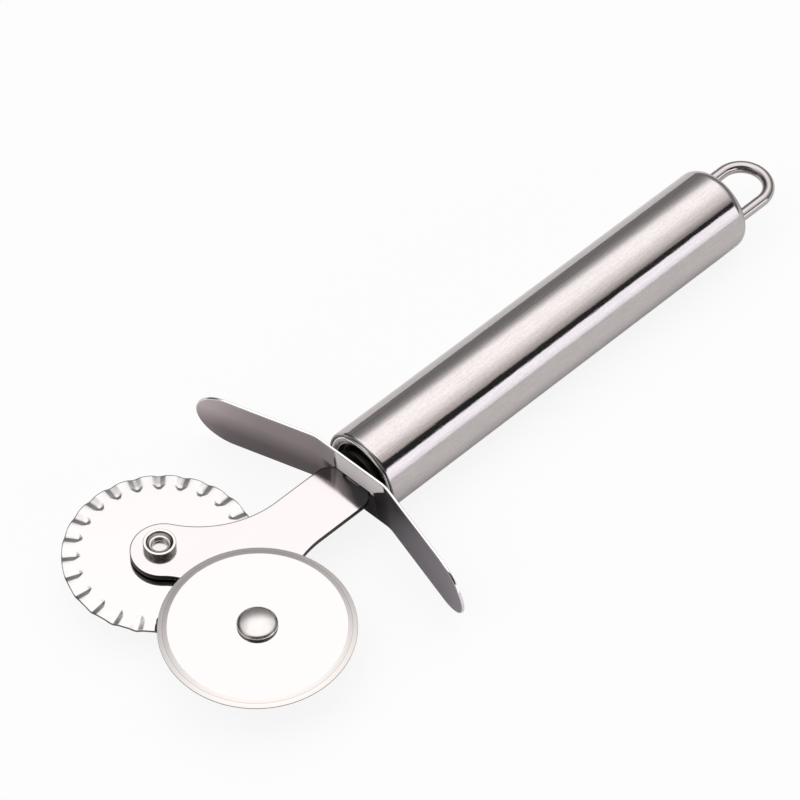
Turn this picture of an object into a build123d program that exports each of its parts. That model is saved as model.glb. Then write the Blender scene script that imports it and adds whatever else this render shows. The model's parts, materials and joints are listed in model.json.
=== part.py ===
from build123d import *
import os
from math import atan2, cos, degrees, hypot, radians, sin, sqrt, tan

os.makedirs("parts", exist_ok=True)

# Handle tube, millimetres
tube_d = 22.0
tube_wall = 0.8
tube_len = 118.5
mouth_round = 0.4
mouth_land = 0.1

# Rear cap
cap_len = 4.0
cap_round = 3.0
cap_wall = 1.0
register_len = 4.0
register_wall = 1.0

# Hanging loop
wire_d = 3.1
loop_inset = 4.4
loop_reach = 16.8
leg_tail = 2.5
loop_bead = 0.8

# Front ring and front cap
ring_wall = 0.8
ring_crest = 0.4
ring_outer_set = 0.2
ring_inner_set = 0.6
ring_lip = 2.1
ring_seat = 1.3
ring_tail = 3.0
ring_curl = 0.65
disc_t = 1.0

# Guard spacer
spacer_room = 1.17
spacer_land = 1.25

# Finger guard
guard_t = 0.7
guard_w = 18.0
guard_span = 86.6
guard_flat = 22.3
guard_sweep = 15.5
guard_bend = 10.0
guard_lean = 7.1
guard_turn = 2.9
guard_gap = 2.5

# Arm
arm_t = 1.5
arm_drop = 0.55
neck_w = 15.2
neck_round = 3.5
flare_r = 26.0
ear_r = 7.8
ear_inset = 1.15
notch_reach = 14.5
relief_reach = 1.35
tang_w = 2.2
tang_len = 9.0
tang_root = 2.5
tang_bead = 1.4
bead_bow = 1.5

# Wheels
wheel_reach = 49.0
wheel_spread = 33.4
plain_t = 1.0
plain_r = 23.1
bevel_w = 2.3
bevel_step = 0.35
edge_t = 0.2
fluted_t = 0.6
fluted_r = 23.1
flute_count = 24
flute_run = 3.4
flute_depth = 0.5
flute_r = 2.2
flute_phase = 3.6

# Rivets, collars and washers
journal_d = 7.0
spigot_d = 5.0
dimple_d = 4.0
dimple_depth = 1.35
head_d = 9.6
head_edge = 0.45
head_dome = 1.2
collar_d = 7.8
collar_bore = 6.2
collar_h = 1.8
collar_floor = 0.75
collar_round = 0.45
collar_land = 0.15
washer_t = 0.45
washer_d = 12.0
head_washer_t = 0.2
head_washer_d = 9.0

# Clearances
run_clear = 0.05
play = 0.05
fit_clear = 0.03
seat_clear = 0.05
tang_clear = 0.25

# Places along the tool: the overall length is centred on the origin, and the handle lies on the floor
handle_len = tube_len + cap_len
front_reach = wheel_reach + max(plain_r, fluted_r)
mouth_x = (front_reach - handle_len - loop_reach) / 2
axis_z = tube_d / 2
tube_r = tube_d / 2
tube_in = tube_r - tube_wall
wheel_x = mouth_x - wheel_reach
wheel_y = wheel_spread / 2
arm_z = axis_z - arm_drop
arm_top = arm_z + arm_t / 2
arm_bottom = arm_z - arm_t / 2

# Half-section plane of everything turned about the handle's axis, with its zero at the tube's mouth
handle_plane = Plane(origin=(mouth_x, 0, axis_z), x_dir=(1, 0, 0), z_dir=(0, -1, 0))
handle_axis = Axis((mouth_x, 0, axis_z), (1, 0, 0))


def across(x):
    """Plane square to the handle's axis, at a distance behind the tube's mouth."""
    return Plane(origin=(mouth_x + x, 0, axis_z), x_dir=(0, 1, 0), z_dir=(1, 0, 0))


# Handle tube
with BuildPart() as handle_tube:
    with BuildSketch(across(0)):
        Circle(tube_r)
        Circle(tube_in, mode=Mode.SUBTRACT)
    extrude(amount=tube_len)
    mouth_edge = handle_tube.edges().group_by(Axis.X)[0].sort_by(SortBy.RADIUS)[-1]
    fillet(mouth_edge, radius=min(mouth_round, tube_wall - mouth_land))
handle_tube.part.label = "handle_tube"
export_step(handle_tube.part, "parts/handle_tube.step")

# Rear cap: a cup with a register inside the tube, a rounded edge and two holes for the loop's legs
register_r = tube_in - fit_clear
register_in = register_r - register_wall
loop_half = tube_r - loop_inset
cap_inside = handle_len - cap_wall
with BuildPart() as rear_cap:
    with BuildSketch(handle_plane):
        with BuildLine():
            wall = Polyline(
                (handle_len, tube_r - cap_round),
                (handle_len, 0),
                (cap_inside, 0),
                (cap_inside, register_in),
                (tube_len - register_len, register_in),
                (tube_len - register_len, register_r),
                (tube_len, register_r),
                (tube_len, tube_r),
                (handle_len - cap_round, tube_r),
            )
            TangentArc(wall @ 1, wall @ 0, tangent=(1, 0))
        make_face()
    revolve(axis=handle_axis)
    with BuildSketch(across(cap_inside)):
        with Locations((loop_half, 0), (-loop_half, 0)):
            Circle(wire_d / 2 + fit_clear)
    extrude(amount=cap_wall, mode=Mode.SUBTRACT)
rear_cap.part.label = "rear_cap"
export_step(rear_cap.part, "parts/rear_cap.step")

# Hanging loop: a U of round wire in the plane of the wheels
loop_start = mouth_x + cap_inside - leg_tail
loop_turn = mouth_x + handle_len + loop_reach - wire_d / 2 - loop_half
with BuildPart() as hanging_loop:
    with BuildLine(Plane.XY.offset(axis_z)) as loop_path:
        Line((loop_start, -loop_half), (loop_turn, -loop_half))
        ThreePointArc((loop_turn, -loop_half), (loop_turn + loop_half, 0), (loop_turn, loop_half))
        Line((loop_turn, loop_half), (loop_start, loop_half))
    with BuildSketch(across(cap_inside - leg_tail)):
        with Locations((-loop_half, 0)):
            Circle(wire_d / 2)
    sweep(path=loop_path.wires()[0])
hanging_loop.part.label = "hanging_loop"
export_step(hanging_loop.part, "parts/hanging_loop.step")

# Weld beads round the loop's legs, on the inside of the rear cap
bead_in = wire_d / 2 + fit_clear
with BuildPart() as loop_welds:
    for side in (-1, 1):
        leg_point = (mouth_x + cap_inside, side * loop_half, axis_z)
        with BuildSketch(Plane(origin=leg_point, x_dir=(-1, 0, 0), z_dir=(0, 1, 0))):
            with BuildLine():
                foot = Polyline((loop_bead, bead_in), (0, bead_in), (0, bead_in + loop_bead))
                RadiusArc(foot @ 1, foot @ 0, radius=loop_bead * bead_bow)
            make_face()
        revolve(axis=Axis(leg_point, (1, 0, 0)))
loop_welds.part.label = "loop_welds"
export_step(loop_welds.part, "parts/loop_welds.step")

# Front ring: rolled bead round the mouth, with a groove behind it that holds the cap's disc
ring_r = tube_in - fit_clear
ring_in = ring_r - ring_wall
groove_end = ring_seat + disc_t + seat_clear
curl_end = groove_end + ring_curl
with BuildPart() as front_ring:
    with BuildSketch(handle_plane):
        with BuildLine():
            back = Polyline(
                (ring_inner_set, ring_r - ring_lip),
                (ring_seat, ring_r - ring_lip),
                (ring_seat, ring_in),
                (groove_end, ring_in),
                (groove_end, ring_in - ring_curl),
                (curl_end, ring_in - ring_curl),
                (curl_end, ring_in),
                (curl_end + ring_tail, ring_in),
                (curl_end + ring_tail, ring_r),
                (ring_outer_set, ring_r),
            )
            ThreePointArc(back @ 1, (-ring_crest, ring_r - ring_lip / 2), back @ 0)
        make_face()
    revolve(axis=handle_axis)
front_ring.part.label = "front_ring"
export_step(front_ring.part, "parts/front_ring.step")

# Front cap: the disc in the ring's groove, with a close slot for both tangs. The spacer in front of it
# keeps a land outside the slot, which sets the tangs apart
spacer_r = ring_r - ring_lip - spacer_room
relief_r = spacer_r - spacer_land - seat_clear - tang_w
tang_y = relief_r + tang_w / 2
tang_span = 2 * (relief_r + tang_w)
slot_w = tang_span + 2 * seat_clear
slot_h = arm_t + 2 * seat_clear
with BuildPart() as front_cap:
    with BuildSketch(across(ring_seat)):
        Circle(ring_in - fit_clear)
        with Locations((0, -arm_drop)):
            Rectangle(slot_w, slot_h, mode=Mode.SUBTRACT)
    extrude(amount=disc_t)
front_cap.part.label = "front_cap"
export_step(front_cap.part, "parts/front_cap.step")

# Guard frame: up runs along the strip's width, front points at the wheels, and the strip is turned and leans
lean = radians(guard_lean)
turn = radians(guard_turn)
wing_run = (guard_span - guard_flat) / 2
wing_rise = wing_run * tan(radians(guard_sweep))
wing_foot = wing_rise - guard_w / 2 * tan(radians(guard_sweep)) + guard_t
guard_z = guard_w / 2 * cos(lean) + wing_foot * sin(lean)
guard_origin = Vector(mouth_x - guard_gap, 0, guard_z)
guard_along = Vector(-sin(turn), cos(turn), 0)
guard_up = Vector(-sin(lean) * cos(turn), -sin(lean) * sin(turn), cos(lean))
guard_front = guard_up.cross(guard_along)
plan_plane = Plane(origin=guard_origin, x_dir=guard_along, z_dir=guard_up)
face_plane = Plane(origin=guard_origin, x_dir=guard_along, z_dir=guard_front)

# Guard spacer: its front stops where the leaning guard's back face reaches furthest over it
back_tilt = hypot(guard_front.Y, guard_front.Z)
back_here = -guard_front.Z * (axis_z - guard_z)
back_reach = (guard_t / 2 + spacer_r * back_tilt - back_here) / -guard_front.X
spacer_front = back_reach - guard_gap + seat_clear
with BuildPart() as guard_spacer:
    with BuildSketch(across(spacer_front)):
        Circle(spacer_r)
        with Locations((0, -arm_drop)):
            Rectangle(slot_w, slot_h, mode=Mode.SUBTRACT)
    extrude(amount=ring_seat - spacer_front)
guard_spacer.part.label = "guard_spacer"
export_step(guard_spacer.part, "parts/guard_spacer.step")

# Finger guard: a strip bent along its plan line, cut to round-ended wings, with a slot for the tangs
with BuildPart() as finger_guard:
    with BuildSketch(plan_plane):
        with BuildLine() as plan_line:
            FilletPolyline(
                (-guard_span / 2, wing_rise),
                (-guard_flat / 2, 0),
                (guard_flat / 2, 0),
                (guard_span / 2, wing_rise),
                radius=guard_bend,
            )
        trace(plan_line.edges(), line_width=guard_t)
    extrude(amount=guard_w / 2, both=True)
    with BuildSketch(face_plane):
        SlotOverall(guard_span, guard_w)
    extrude(amount=wing_rise + guard_bend, both=True, mode=Mode.INTERSECT)
    with BuildSketch(across(-guard_gap)):
        with Locations((0, -arm_drop)):
            Rectangle(tang_span + 2 * tang_clear, arm_t + 2 * tang_clear)
    extrude(amount=guard_t * 2, both=True, mode=Mode.SUBTRACT)
finger_guard.part.label = "finger_guard"
export_step(finger_guard.part, "parts/finger_guard.step")

# Arm: neck, flares tangent to two ears, a round notch between them, and two tangs through the guard and
# the cap, with a round relief between the tangs
ear_x = wheel_x
ear_y = wheel_y - ear_inset
flare_run = sqrt((flare_r + ear_r) ** 2 - (neck_w / 2 + flare_r - ear_y) ** 2)
flare_x = ear_x + flare_run
flare_turn = atan2(neck_w / 2 + flare_r - ear_y, flare_run)
flare_end = (ear_x + ear_r * cos(flare_turn), ear_y + ear_r * sin(flare_turn))
notch_turn = atan2(-ear_y, -notch_reach)
ear_end = (ear_x + ear_r * cos(notch_turn), ear_y + ear_r * sin(notch_turn))
tang_start = mouth_x - guard_gap - tang_root
cap_back = mouth_x + ring_seat + disc_t
tang_end = cap_back + tang_len
front_face = Plane(origin=guard_origin + guard_front * (guard_t / 2 + seat_clear), z_dir=guard_front)
neck_end = front_face.origin.X + ((front_face.origin.Z - arm_z) * guard_front.Z) / guard_front.X
relief_x = neck_end + relief_r - relief_reach
with BuildPart() as arm:
    with BuildSketch(Plane.XY.offset(arm_bottom)):
        with BuildLine():
            side_line = Line((mouth_x, neck_w / 2), (flare_x, neck_w / 2))
            flare = TangentArc(side_line @ 1, flare_end, tangent=(-1, 0))
            TangentArc(flare @ 1, ear_end, tangent=flare % 1)
            mirror(about=Plane.XZ)
            notch_front = Vector(ear_x - notch_reach + hypot(notch_reach, ear_y) - ear_r, 0)
            ThreePointArc(ear_end, notch_front, (ear_end[0], -ear_end[1]))
            Line((mouth_x, neck_w / 2), (mouth_x, -neck_w / 2))
        make_face()
        with Locations((wheel_x, wheel_y), (wheel_x, -wheel_y)):
            Circle(spigot_d / 2 + fit_clear, mode=Mode.SUBTRACT)
    extrude(amount=arm_t)
    split(bisect_by=front_face, keep=Keep.TOP)
    neck_face = arm.faces().filter_by(front_face)[0]
    fillet(neck_face.edges().group_by(SortBy.LENGTH)[0], radius=neck_round)
    with BuildSketch(Plane.XY.offset(arm_bottom)):
        with Locations((tang_end, tang_y), (tang_end, -tang_y)):
            Rectangle(tang_end - tang_start, tang_w, align=(Align.MAX, Align.CENTER))
    extrude(amount=arm_t)
    with BuildSketch(Plane.XY.offset(arm_bottom)):
        with Locations((relief_x, 0)):
            Circle(relief_r)
    extrude(amount=arm_t, mode=Mode.SUBTRACT)
arm.part.label = "arm"
export_step(arm.part, "parts/arm.step")

# Weld beads along the flat faces of both tangs, on the back of the front cap
with BuildPart() as tang_welds:
    for side in (-1, 1):
        for y in (-tang_y, tang_y):
            bead_point = (cap_back, y, arm_z + side * arm_t / 2)
            with BuildSketch(Plane(origin=bead_point, x_dir=(1, 0, 0), z_dir=(0, -1, 0))):
                with BuildLine():
                    corner = Polyline((tang_bead, 0), (0, 0), (0, side * tang_bead))
                    RadiusArc(corner @ 1, corner @ 0, radius=side * tang_bead * bead_bow)
                make_face()
            extrude(amount=tang_w / 2, both=True)
tang_welds.part.label = "tang_welds"
export_step(tang_welds.part, "parts/tang_welds.step")

# Pivot frames: zero on the arm's face, Z pointing from the arm to the wheel
plain_pivot = Plane(origin=(wheel_x, -wheel_y, arm_top), x_dir=(1, 0, 0), z_dir=(0, 0, 1))
fluted_pivot = Plane(origin=(wheel_x, wheel_y, arm_bottom), x_dir=(1, 0, 0), z_dir=(0, 0, -1))

# Heights in the stack on each pivot
journal_r = journal_d / 2
spigot_r = spigot_d / 2
bore_r = journal_r + run_clear
wheel_low = washer_t + play
plain_high = wheel_low + plain_t
fluted_high = wheel_low + fluted_t
spigot_end = collar_floor - arm_t - collar_h


def turning_plane(pivot):
    """Half-section plane of a pivot: X is the radius, Y runs along the pivot's axis."""
    return Plane(origin=pivot.origin, x_dir=pivot.x_dir, z_dir=-pivot.y_dir)


def turning_axis(pivot):
    return Axis(pivot.origin, pivot.z_dir)


# Plain wheel: flat disc, its outer face ground to the edge in two steps
with BuildPart() as plain_wheel:
    with BuildSketch(turning_plane(plain_pivot)):
        with BuildLine():
            Polyline(
                (bore_r, wheel_low),
                (plain_r, wheel_low),
                (plain_r, wheel_low + edge_t),
                (plain_r - bevel_w / 2, plain_high - bevel_step),
                (plain_r - bevel_w, plain_high),
                (bore_r, plain_high),
                close=True,
            )
        make_face()
    revolve(axis=turning_axis(plain_pivot))
plain_wheel.part.label = "plain_wheel"
export_step(plain_wheel.part, "parts/plain_wheel.step")

# Fluted wheel: round-ended grooves pressed from the arm's side, which stand out as ridges on the other side
flute_axis = wheel_low + flute_depth - flute_r
flute_start = Location((fluted_r - flute_run, 0, flute_axis))
flute_middle = Location((fluted_r, 0, flute_axis), (0, 90, 0))
with BuildPart() as fluted_wheel:
    with Locations(fluted_pivot.location):
        with PolarLocations(0, flute_count, start_angle=-flute_phase):
            with Locations(flute_start):
                Sphere(flute_r + fluted_t)
            with Locations(flute_middle):
                Cylinder(flute_r + fluted_t, flute_run * 2)
    with BuildSketch(fluted_pivot.offset(wheel_low)):
        Circle(fluted_r)
    extrude(amount=fluted_t + flute_depth, mode=Mode.INTERSECT)
    with BuildSketch(fluted_pivot.offset(wheel_low)):
        Circle(fluted_r)
    extrude(amount=fluted_t)
    with Locations(fluted_pivot.location):
        with PolarLocations(0, flute_count, start_angle=-flute_phase):
            with Locations(flute_start):
                Sphere(flute_r, mode=Mode.SUBTRACT)
            with Locations(flute_middle):
                Cylinder(flute_r, flute_run * 2, mode=Mode.SUBTRACT)
    with BuildSketch(fluted_pivot):
        Circle(bore_r)
    extrude(amount=fluted_high, mode=Mode.SUBTRACT)
fluted_wheel.part.label = "fluted_wheel"
export_step(fluted_wheel.part, "parts/fluted_wheel.step")


def make_rivet(pivot, name, wheel_high):
    """Domed head, journal that the wheel turns on, and a dimpled spigot through the arm into the collar."""
    head_low = wheel_high + play + head_washer_t
    with BuildPart() as rivet:
        with BuildSketch(turning_plane(pivot)):
            with BuildLine():
                stem = Polyline(
                    (head_d / 2, head_low + head_edge),
                    (head_d / 2, head_low),
                    (journal_r, head_low),
                    (journal_r, 0),
                    (spigot_r, 0),
                    (spigot_r, spigot_end),
                    (dimple_d / 2, spigot_end),
                    (dimple_d / 2, spigot_end + dimple_depth),
                    (0, spigot_end + dimple_depth),
                    (0, head_low + head_edge + head_dome),
                )
                TangentArc(stem @ 1, stem @ 0, tangent=(1, 0))
            make_face()
        revolve(axis=turning_axis(pivot))
    rivet.part.label = name
    export_step(rivet.part, f"parts/{name}.step")


def make_collar(pivot, name):
    """Hollow collar on the arm's other face, gripping the rivet's spigot."""
    with BuildPart() as collar:
        with BuildSketch(turning_plane(pivot)):
            with BuildLine():
                Polyline(
                    (spigot_r + fit_clear, -arm_t),
                    (collar_d / 2, -arm_t),
                    (collar_d / 2, -arm_t - collar_h),
                    (collar_bore / 2, -arm_t - collar_h),
                    (collar_bore / 2, spigot_end),
                    (spigot_r + fit_clear, spigot_end),
                    close=True,
                )
            make_face()
        revolve(axis=turning_axis(pivot))
        rim = collar.faces().sort_by(turning_axis(pivot))[0].edges()
        rim_wall = (collar_d - collar_bore) / 2
        fillet(rim, radius=min(collar_round, (rim_wall - collar_land) / 2))
    collar.part.label = name
    export_step(collar.part, f"parts/{name}.step")


def make_washer(pivot, name, low, thickness, outer_d):
    """Flat washer on the journal."""
    with BuildPart() as washer:
        with BuildSketch(pivot.offset(low)):
            Circle(outer_d / 2)
            Circle(bore_r, mode=Mode.SUBTRACT)
        extrude(amount=thickness)
    washer.part.label = name
    export_step(washer.part, f"parts/{name}.step")


# Rivets, collars and washers of both wheels
for stack, pivot, wheel_high in (("plain", plain_pivot, plain_high), ("fluted", fluted_pivot, fluted_high)):
    make_rivet(pivot, f"{stack}_rivet", wheel_high)
    make_collar(pivot, f"{stack}_collar")
    make_washer(pivot, f"{stack}_washer", 0, washer_t, washer_d)
    make_washer(pivot, f"{stack}_head_washer", wheel_high + play, head_washer_t, head_washer_d)
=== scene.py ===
import json
import bpy
import bmesh
import numpy as np
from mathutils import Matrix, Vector


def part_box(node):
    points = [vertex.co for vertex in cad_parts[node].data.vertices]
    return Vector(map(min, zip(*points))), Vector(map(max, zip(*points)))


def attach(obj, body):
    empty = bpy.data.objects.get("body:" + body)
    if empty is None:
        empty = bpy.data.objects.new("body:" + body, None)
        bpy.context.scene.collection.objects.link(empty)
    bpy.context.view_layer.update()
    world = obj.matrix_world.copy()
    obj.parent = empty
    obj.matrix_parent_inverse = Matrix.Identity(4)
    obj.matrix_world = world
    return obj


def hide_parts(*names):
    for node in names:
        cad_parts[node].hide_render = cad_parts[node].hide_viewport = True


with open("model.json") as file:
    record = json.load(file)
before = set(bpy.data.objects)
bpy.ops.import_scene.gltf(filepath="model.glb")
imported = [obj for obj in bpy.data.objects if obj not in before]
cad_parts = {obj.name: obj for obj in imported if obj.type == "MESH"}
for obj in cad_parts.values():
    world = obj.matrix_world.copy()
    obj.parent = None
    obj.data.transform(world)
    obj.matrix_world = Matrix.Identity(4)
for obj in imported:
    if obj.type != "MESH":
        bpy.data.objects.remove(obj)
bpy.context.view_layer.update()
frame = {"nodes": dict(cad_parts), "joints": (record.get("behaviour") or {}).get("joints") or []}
mm = 0.001
print("frame:", len(frame["nodes"]), "nodes")


# Lowest and highest corner of a CAD node, in millimetres
def nodeBox(name):
    low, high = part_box(name)
    return np.array(low) / mm, np.array(high) / mm


# Place of a joint, in millimetres
def pivotOf(joint):
    found = [j for j in frame["joints"] if j["name"] == joint][0]
    return np.array(found["pos_m"]) / mm


# Angles of a full turn in equal steps
def fullTurn(count):
    return np.arange(count) / count * 2 * np.pi


# Quarter ellipse that takes an edge over: inset = wide * (1 - sin t) and drop = deep * (1 - cos t)
def rollOver(wide, deep, steps=16):
    t = np.linspace(0, np.pi / 2, steps)
    return wide * (1 - np.sin(t)), deep * (1 - np.cos(t))


tubeLow, tubeHigh = nodeBox("handle_tube")
mouthX = tubeLow[0]
tubeR = (tubeHigh[1] - tubeLow[1]) / 2
axisZ = tubeLow[2] + tubeR
axisX = np.array((1.0, 0.0, 0.0))
axisUp = np.array((0.0, 0.0, 1.0))
axisPoint = np.array((0.0, 0.0, axisZ))
capBack = nodeBox("rear_cap")[1][0]
plainPivot = pivotOf("plain_wheel_spin")
flutedPivot = pivotOf("fluted_wheel_spin")
plainLow, plainHigh = nodeBox("plain_wheel")
flutedLow, flutedHigh = nodeBox("fluted_wheel")
plainR = (plainHigh[0] - plainLow[0]) / 2
flutedR = (flutedHigh[0] - flutedLow[0]) / 2
sharpTurn = np.radians(40)  # edges that bend more than this shade as sharp


# A chain of corners (a, b, radius): a corner with a radius becomes an arc that touches both of its sides,
# with a support point just outside each end of the arc, so that the flats beside it shade flat
def roundedLine(corners, closed=True, step=11, support=0.02):
    corners = np.array(corners, float)
    count = len(corners)
    line = []
    for i in range(count):
        point, radius = corners[i, :2], corners[i, 2]
        if radius == 0 or (not closed and i in (0, count - 1)):
            line.append(point[None])
            continue
        before = corners[i - 1, :2] - point
        after = corners[(i + 1) % count, :2] - point
        before /= np.linalg.norm(before)
        after /= np.linalg.norm(after)
        half = np.arccos(np.clip(before @ after, -1, 1)) / 2
        reach = radius / np.tan(half)
        middle = point + (before + after) / np.linalg.norm(before + after) * radius / np.sin(half)
        arcTurn = np.pi - 2 * half
        share = np.linspace(0, 1, max(3, int(np.degrees(arcTurn) / step) + 2))[:, None]
        first, last = point + before * reach - middle, point + after * reach - middle
        arc = middle + (np.sin((1 - share) * arcTurn) * first + np.sin(share * arcTurn) * last) / np.sin(arcTurn)
        line += [arc[:1] + before * support, arc, arc[-1:] + after * support]
    return np.concatenate(line)


# Quads between the rows of a grid whose columns close on themselves
def bandFaces(rows, columns, closed):
    row = np.arange(rows if closed else rows - 1)[:, None]
    column = np.arange(columns)[None]
    nextRow, nextColumn = (row + 1) % rows, (column + 1) % columns
    quads = (row * columns + column, row * columns + nextColumn,
             nextRow * columns + nextColumn, nextRow * columns + column)
    return np.stack(quads, -1).reshape(-1, 4)


# Turned shape: point = origin + along * axis + radius * (cos t * side + sin t * cross).
# A profile that starts and ends on the axis is closed there with a fan round a single point
def turned(profile, origin, axis, count, closed=True):
    profile = np.array(profile, float)
    side = np.array((0.0, 1.0, 0.0))
    cross = np.cross(axis, side)
    t = fullTurn(count)[:, None]
    spokes = np.cos(t) * side + np.sin(t) * cross
    body = profile if closed else profile[1:-1]
    points = (origin + body[:, :1, None] * axis + body[:, 1:, None] * spokes[None]).reshape(-1, 3)
    faces = bandFaces(len(body), count, closed).tolist()
    if not closed:
        first, last = len(points), len(points) + 1
        points = np.concatenate([points, [origin + profile[0, 0] * axis, origin + profile[-1, 0] * axis]])
        here = np.arange(count)
        there = (here + 1) % count
        lastRow = (len(body) - 1) * count
        faces += np.stack([np.full(count, first), there, here], 1).tolist()
        faces += np.stack([np.full(count, last), lastRow + here, lastRow + there], 1).tolist()
    return points, faces


# Six times the signed volume, which is positive where the faces point outwards
def signedVolume(points, faces):
    total = 0.0
    for size in set(len(f) for f in faces):
        ring = points[np.array([f for f in faces if len(f) == size])]
        for k in range(1, size - 1):
            total += np.einsum("ij,ij->i", ring[:, 0], np.cross(ring[:, k], ring[:, k + 1])).sum()
    return total


# Points that fall together become one. A quad with a repeated corner becomes a triangle, and one with two is left out
def welded(points, quads, marks):
    first, place = np.unique(np.round(points, 5), axis=0, return_index=True, return_inverse=True)[1:]
    corners = place.ravel()[quads]
    repeated = corners == np.roll(corners, 1, axis=1)
    once = repeated.sum(1) == 1
    triangles = corners[once][~repeated[once]].reshape(-1, 3)
    return points[first], corners[~repeated.any(1)].tolist() + triangles.tolist(), marks[first]


# An object for a mesh, a camera or a light, put into the scene
def linked(name, data):
    made = bpy.data.objects.new(name, data)
    bpy.context.scene.collection.objects.link(made)
    return made


# Marks are numbers from 0 to 1 at each point that a material reads, such as where a sheet's sheared edge is
def addPiece(name, points, faces, material, body, slotName, replaced, marks=None):
    if signedVolume(points, faces) < 0:
        faces = [f[::-1] for f in faces]
    mesh = bpy.data.meshes.new(name)
    mesh.from_pydata((points * mm).tolist(), [], faces)
    mesh.polygons.foreach_set("use_smooth", np.ones(len(mesh.polygons), bool))
    mesh.set_sharp_from_angle(angle=sharpTurn)
    mesh.materials.append(material)
    for mark, values in (marks or {}).items():
        mesh.attributes.new(mark, "FLOAT", "POINT").data.foreach_set("value", np.ascontiguousarray(values))
    piece = linked(name, mesh)
    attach(piece, body)
    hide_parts(*replaced)


# An operator and its reflected form, as one maths node each
def operatorPair(operation):
    def plain(wire, other):
        return wire.shade.math(operation, wire, other)

    def reflected(wire, other):
        return wire.shade.math(operation, other, wire)

    return plain, reflected


# Wraps a socket, so that shader maths reads as an expression
class Wire:
    def __init__(self, shade, out):
        self.shade, self.out = shade, out

    __add__, __radd__ = operatorPair("ADD")
    __sub__, __rsub__ = operatorPair("SUBTRACT")
    __mul__, __rmul__ = operatorPair("MULTIPLY")
    __truediv__, __rtruediv__ = operatorPair("DIVIDE")
    __pow__, __rpow__ = operatorPair("POWER")

    def __abs__(self):
        return self.shade.math("ABSOLUTE", self)


# A node tree and the one way to add a node to it: type, settings, then socket values or links
class Shade:
    def __init__(self, tree):
        self.tree = tree
        tree.nodes.clear()

    def node(self, kind, settings=None, sockets=None, output=0):
        made = self.tree.nodes.new(kind)
        for key, value in (settings or {}).items():
            if key == "stops":
                ramp = made.color_ramp
                while len(ramp.elements) < len(value):
                    ramp.elements.new(1.0)
                for element, (place, colour) in zip(ramp.elements, value):
                    element.position = place
                    element.color = (*np.broadcast_to(colour, 3), 1.0)
            else:
                setattr(made, key, value)
        for key, value in (sockets or {}).items():
            if isinstance(value, Wire):
                self.tree.links.new(value.out, made.inputs[key])
            else:
                made.inputs[key].default_value = value
        return Wire(self, made.outputs[output]) if made.outputs else None

    def math(self, operation, first, second=0.0):
        return self.node("ShaderNodeMath", {"operation": operation}, {0: first, 1: second})

    # Object coordinates, stretched, turned and shifted
    def place(self, turn=(0, 0, 0), scale=(1, 1, 1), shift=(0, 0, 0)):
        coordinates = self.node("ShaderNodeTexCoord", None, None, 3)
        return self.node("ShaderNodeMapping", None, {
            "Vector": coordinates, "Location": shift, "Rotation": turn, "Scale": scale})

    # Place along x, y or z (0, 1 or 2) in millimetres
    def along(self, axis):
        return self.node("ShaderNodeSeparateXYZ", None, {0: self.place()}, axis) / mm

    # Distance in millimetres from an axis along x or z through a point
    def axisDistance(self, point, axis):
        local = self.place(shift=tuple(-np.array(point) * mm))
        first, second = [self.node("ShaderNodeSeparateXYZ", None, {0: local}, k)
                         for k in ((1, 2) if axis == "x" else (0, 1))]
        return (first * first + second * second) ** 0.5 / mm

    # Noise from 0 to 1, with one scale or with one for each axis
    def noise(self, scale, detail=2.0, roughness=0.5, turn=(0, 0, 0)):
        stretch, size = ((1, 1, 1), scale) if np.isscalar(scale) else (scale, 1.0)
        return self.node("ShaderNodeTexNoise", None, {
            "Vector": self.place(turn, stretch), "Scale": size, "Detail": detail, "Roughness": roughness})

    # Noise from 0 to 1 that changes with one number alone
    def lines(self, number, detail):
        return self.node("ShaderNodeTexNoise", {"noise_dimensions": "1D"}, {
            "W": number, "Scale": 1.0, "Detail": detail})

    # A number taken from one range to another, held inside it
    def span(self, value, low, high, start=0.0, end=1.0):
        return self.node("ShaderNodeMapRange", {"clamp": True}, {
            "Value": value, "From Min": low, "From Max": high, "To Min": start, "To Max": end})

    # Colours or greys at places from low to high along a number
    def ramp(self, number, low, high, stops):
        shares = [((place - low) / (high - low), colour) for place, colour in stops]
        return self.node("ShaderNodeValToRGB", {"stops": shares}, {"Fac": self.span(number, low, high)})

    # Colour between two colours
    def blend(self, factor, first, second):
        first, second = [c if isinstance(c, Wire) else (*c, 1.0) for c in (first, second)]
        return self.node("ShaderNodeMix", {"data_type": "RGBA"}, {"Factor": factor, 6: first, 7: second}, 2)

    def bump(self, height, distance, strength=1.0):
        return self.node("ShaderNodeBump", None, {"Strength": strength, "Distance": distance, "Height": height})

    # A piece's own mark
    def mark(self, name):
        return self.node("ShaderNodeAttribute", {"attribute_name": name}, None, 2)

    # Sockets of a simple skin: a tone in the colour, wear in the roughness and relief in the normal
    def skin(self, finish, tone, wear, relief, strength=1.0):
        return {
            "Base Color": self.blend(tone, finish["dark"], finish["colour"]),
            "Roughness": finish["rough"] + (wear - 0.5) * finish["roughSpread"],
            "Normal": self.bump(relief, finish["height"], strength),
        }


def steel(name, build):
    material = bpy.data.materials.new(name)
    material.use_nodes = True
    shade = Shade(material.node_tree)
    sockets = {"Metallic": 1.0}
    sockets.update(build(shade))
    surface = shade.node("ShaderNodeBsdfPrincipled", None, sockets)
    shade.node("ShaderNodeOutputMaterial", None, {"Surface": surface})
    return material


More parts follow.
